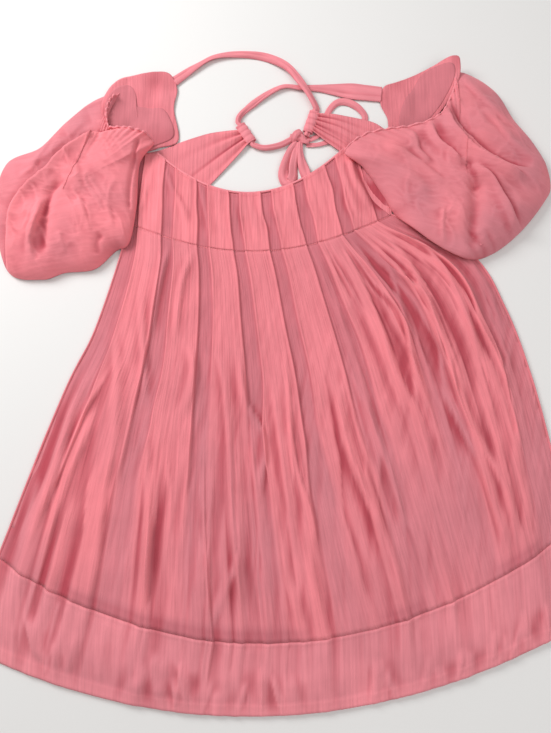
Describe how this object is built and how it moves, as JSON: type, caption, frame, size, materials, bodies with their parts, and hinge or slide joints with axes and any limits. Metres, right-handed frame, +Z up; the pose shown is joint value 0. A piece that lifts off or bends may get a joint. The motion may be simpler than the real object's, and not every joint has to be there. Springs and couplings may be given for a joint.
{
  "type": "dress",
  "caption": "Gathered cotton gauze mini dress lying flat, front side up, with a pleated bodice, puff sleeves, an open tie back and a double hem band.",
  "frame": {"origin": "centre of the bounding box in plan, at the table surface that the back of the dress lies on", "axes": "+Y from the hem towards the neckline, +X across the dress to the right as seen from above, +Z up, out of the front of the dress"},
  "size_m": [0.8788, 1.0102, 0.0464],
  "materials": {
    "gauze": "crinkled semi-sheer cotton gauze, matt",
    "lining": "thin plain cotton lining, matt",
    "band": "double cotton gauze, smoother and more opaque",
    "seam": "folded seam allowance with pink stitching",
    "elastic": "narrow woven elastic"
  },
  "bodies": {
    "dress": {"front_skirt": "gauze", "front_skirt_lining": "lining", "front_hem_band": "band", "front_hem_facing": "band", "back_skirt": "gauze", "back_skirt_lining": "lining", "back_hem_band": "band", "back_hem_facing": "band", "front_bodice": "gauze", "front_bodice_lining": "lining", "neckline_binding": "seam", "underbust_seam": "seam", "back_waist_seam": "seam", "side_seam_left": "seam", "side_seam_right": "seam", "back_wing_left": "gauze", "wing_casing_left": "band", "back_yoke_left": "gauze", "yoke_lining_left": "lining", "back_wing_right": "gauze", "wing_casing_right": "band", "back_yoke_right": "gauze", "yoke_lining_right": "lining", "tie_left": "band", "tie_right": "band", "bow_knot": "band", "bow_loop_behind": "band", "armhole_seam_left": "seam", "armhole_seam_right": "seam", "sleeve_head_left": "gauze", "sleeve_elastic_left": "elastic", "sleeve_binding_left": "seam", "sleeve_head_right": "gauze", "sleeve_elastic_right": "elastic", "sleeve_binding_right": "seam"},
    "sleeve_left": {"sleeve_puff_left": "gauze", "cuff_left": "band", "cuff_elastic_left": "elastic"},
    "sleeve_right": {"sleeve_puff_right": "gauze", "cuff_right": "band", "cuff_elastic_right": "elastic"},
    "bow_loop": {"bow_loop": "band"},
    "bow_tail": {"bow_tail": "band"}
  },
  "joints": [
    {"name": "sleeve_left_fold", "type": "hinge", "parent": "dress", "child": "sleeve_left", "pos_m": [-0.25436, 0.29155, 0.0464], "axis": [-0.1994, 0.9799, 0], "range_deg": [0, 170]},
    {"name": "sleeve_right_fold", "type": "hinge", "parent": "dress", "child": "sleeve_right", "pos_m": [0.26014, 0.32655, 0.0464], "axis": [-0.3657, -0.9308, 0], "range_deg": [0, 170]},
    {"name": "bow_loop_lift", "type": "hinge", "parent": "dress", "child": "bow_loop", "pos_m": [0.03764, 0.33515, 0.0054], "axis": [-1, 0, 0], "range_deg": [0, 90]},
    {"name": "bow_tail_lift", "type": "hinge", "parent": "dress", "child": "bow_tail", "pos_m": [0.04314, 0.33645, 0.0054], "axis": [-1, 0, 0], "range_deg": [0, 90]}
  ]
}
